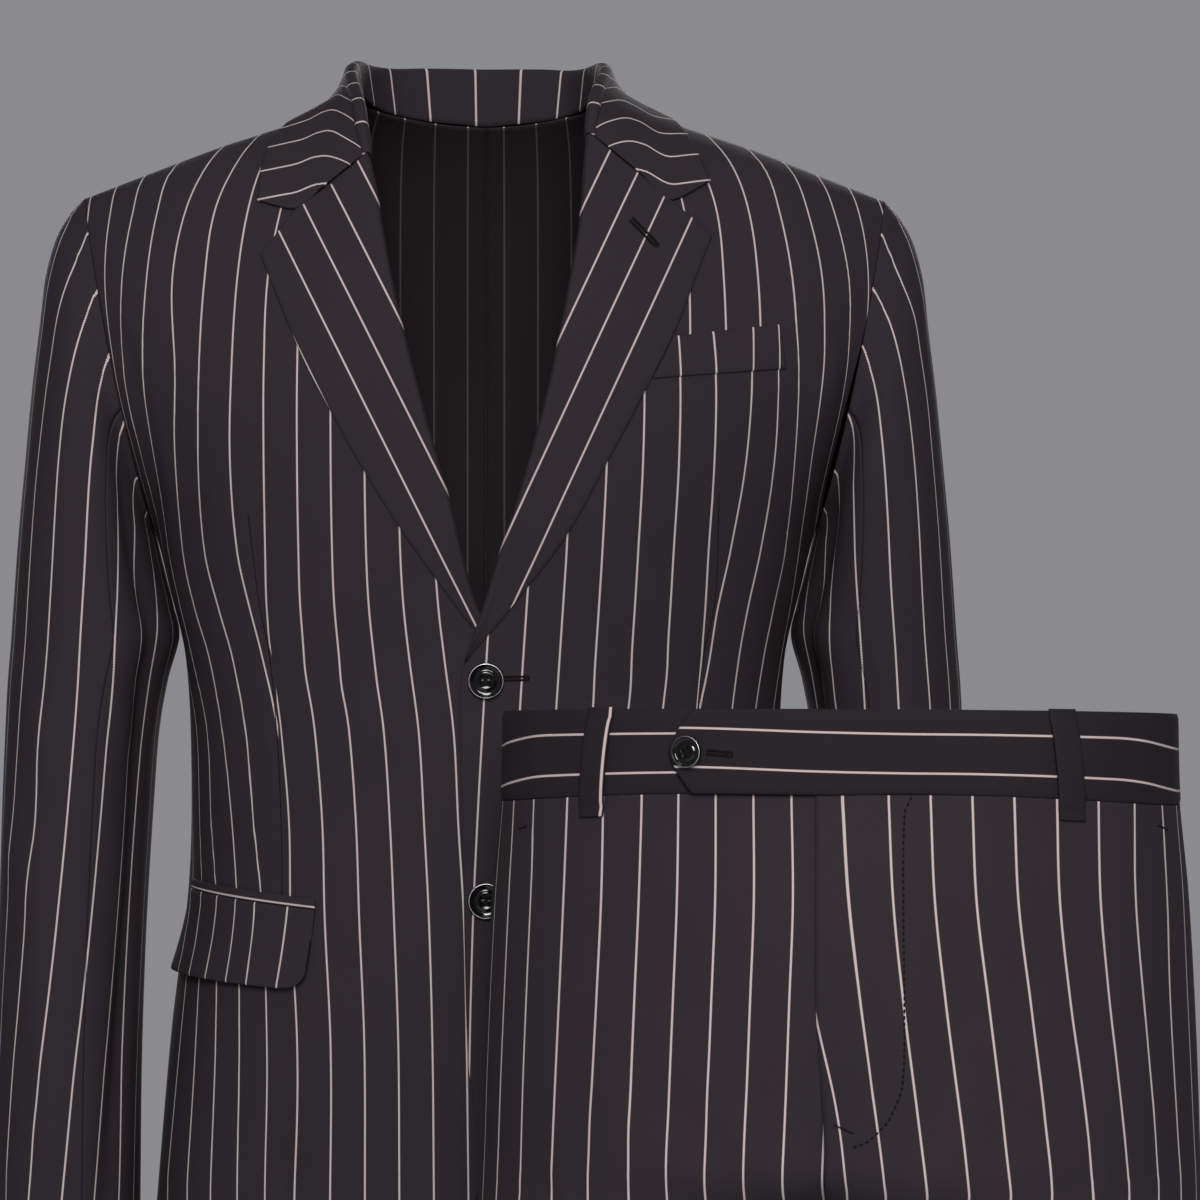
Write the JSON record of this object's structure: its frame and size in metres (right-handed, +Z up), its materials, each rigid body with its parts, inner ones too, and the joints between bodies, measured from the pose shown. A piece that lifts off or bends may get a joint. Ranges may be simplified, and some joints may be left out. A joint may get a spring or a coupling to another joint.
{
  "type": "single-breasted suit",
  "caption": "Dark charcoal pinstriped single-breasted suit: two-button notch-lapel jacket worn hollow, with its matching tab-waist trousers set in front of it.",
  "frame": {"origin": "on the jacket's centre plane at the base of the neck, level with the shoulder seams, where the wearer's neck and shoulders carry the jacket", "axes": "+X to the wearer's left, +Y to the back, +Z up; the fronts face -Y"},
  "size_m": [0.6364, 0.525, 1.4296],
  "materials": {
    "suit_cloth": "fine worsted twill, very dark brownish charcoal with pale pinstripes 20 mm apart",
    "button_black": "polished black, four holes"
  },
  "bodies": {
    "root": {"jacket_front_right": "suit_cloth", "jacket_back_right": "suit_cloth", "sleeve_top_right": "suit_cloth", "sleeve_under_right": "suit_cloth", "lapel_right": "suit_cloth", "pocket_jet_right": "suit_cloth", "pocket_flap_right": "suit_cloth", "jacket_front_left": "suit_cloth", "jacket_back_left": "suit_cloth", "sleeve_top_left": "suit_cloth", "sleeve_under_left": "suit_cloth", "lapel_left": "suit_cloth", "pocket_jet_left": "suit_cloth", "pocket_flap_left": "suit_cloth", "collar": "suit_cloth", "breast_welt": "suit_cloth", "jacket_button_upper": "button_black", "jacket_button_lower": "button_black", "trouser_front_right": "suit_cloth", "trouser_back_right": "suit_cloth", "waistband_right": "suit_cloth", "trouser_front_left": "suit_cloth", "trouser_back_left": "suit_cloth", "waistband_left": "suit_cloth", "belt_loop_1": "suit_cloth", "belt_loop_2": "suit_cloth", "belt_loop_3": "suit_cloth", "belt_loop_4": "suit_cloth", "belt_loop_5": "suit_cloth", "waistband_button": "button_black"}
  },
  "joints": []
}
